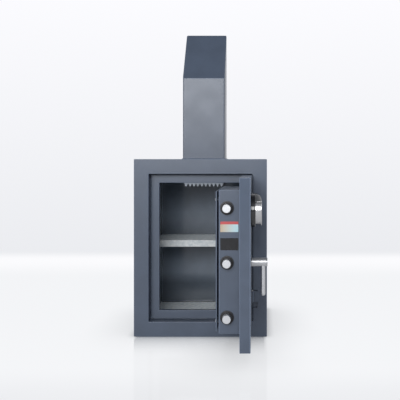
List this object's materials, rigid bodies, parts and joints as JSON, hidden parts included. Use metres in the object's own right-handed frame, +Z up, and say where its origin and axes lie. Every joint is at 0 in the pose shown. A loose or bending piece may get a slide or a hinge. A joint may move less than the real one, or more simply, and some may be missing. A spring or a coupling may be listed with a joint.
{
  "type": "gooseneck safe",
  "caption": "Steel gooseneck deposit safe: square neck with slanted top and rear flap, hinged door with dial lock, lever handle and round bolts, shelf inside.",
  "frame": {"origin": "centre of the underside of the safe body", "axes": "+Z up, the door side faces -Y, +X to the right seen from the door side"},
  "size_m": [0.4572, 0.7588, 1.086],
  "materials": {
    "slate_paint": "semi-gloss slate grey paint with slight orange peel",
    "zinc_sheet": "zinc coated sheet, satin",
    "bare_steel": "bare sheet steel, satin",
    "bright_steel": "turned and polished steel",
    "satin_chrome": "satin chrome",
    "black_plastic": "black, half gloss",
    "black_bush": "black, matt",
    "fire_fill": "cast, rough"
  },
  "bodies": {
    "body": {"outer_left_skin": "slate_paint", "outer_right_skin": "slate_paint", "outer_top_skin": "slate_paint", "outer_bottom_skin": "slate_paint", "outer_back_skin": "slate_paint", "front_stile_left": "slate_paint", "front_stile_right": "slate_paint", "front_sill": "slate_paint", "front_header": "slate_paint", "liner_left": "slate_paint", "liner_right": "slate_paint", "liner_bottom": "slate_paint", "liner_top": "slate_paint", "liner_back": "slate_paint", "fire_fill": "fire_fill", "neck_slant_cap": "slate_paint", "neck_front_plate": "slate_paint", "neck_back_plate": "slate_paint", "neck_left_plate": "slate_paint", "neck_right_plate": "slate_paint", "neck_baffle": "bare_steel", "throat_comb_front": "bare_steel", "throat_comb_back": "bare_steel", "throat_comb_left": "bare_steel", "throat_comb_right": "bare_steel", "flap_hinge_bracket": "slate_paint", "flap_hinge_pin": "bright_steel", "shelf": "zinc_sheet", "shelf_bracket_left": "slate_paint", "shelf_bracket_right": "slate_paint", "hinge_frame_leaf_lower": "slate_paint", "hinge_frame_leaf_upper": "slate_paint", "hinge_pin_lower": "bright_steel", "hinge_pin_upper": "bright_steel"},
    "door": {"door_pan": "slate_paint", "door_fire_fill": "fire_fill", "door_inner_plate": "slate_paint", "hinge_door_leaf_lower": "slate_paint", "hinge_door_leaf_upper": "slate_paint", "boltwork_housing": "slate_paint", "housing_cover_plate": "slate_paint", "bolt_bush_lower": "black_bush", "bolt_bush_middle": "black_bush", "bolt_bush_upper": "black_bush", "dial_ring": "black_plastic", "dial_shroud": "satin_chrome", "lock_case": "zinc_sheet", "hinge_side_dead_bar": "bare_steel"},
    "dial": {"dial": "black_plastic", "dial_spindle": "bright_steel"},
    "handle": {"lever_handle": "bright_steel", "handle_shaft": "bare_steel"},
    "bolts": {"bolt_bar": "bare_steel", "bolt_lower": "bright_steel", "bolt_middle": "bright_steel", "bolt_upper": "bright_steel"},
    "flap": {"deposit_flap": "slate_paint"}
  },
  "joints": [
    {"name": "door_hinge", "type": "hinge", "parent": "body", "child": "door", "pos_m": [0.1778, -0.2032, 0.3048], "axis": [0, 0, -1], "range_deg": [-30, 90]},
    {"name": "handle_turn", "type": "hinge", "parent": "door", "child": "handle", "pos_m": [0.2178, -0.4202, 0.293], "axis": [1, 0, 0], "range_deg": [0, 90]},
    {"name": "bolts_slide", "type": "slide", "parent": "door", "child": "bolts", "axis": [0, -1, 0], "range_m": [0, 0.03]},
    {"name": "dial_turn", "type": "hinge", "parent": "door", "child": "dial", "pos_m": [0.1878, -0.4202, 0.452], "axis": [1, 0, 0], "continuous": true},
    {"name": "flap_hinge", "type": "hinge", "parent": "body", "child": "flap", "pos_m": [0, 0.0568, 1.051], "axis": [1, 0, 0], "range_deg": [0, 85]}
  ],
  "couplings": [
    {"joint": "bolts_slide", "follows": "handle_turn", "m_per_rad": 0.019098}
  ]
}
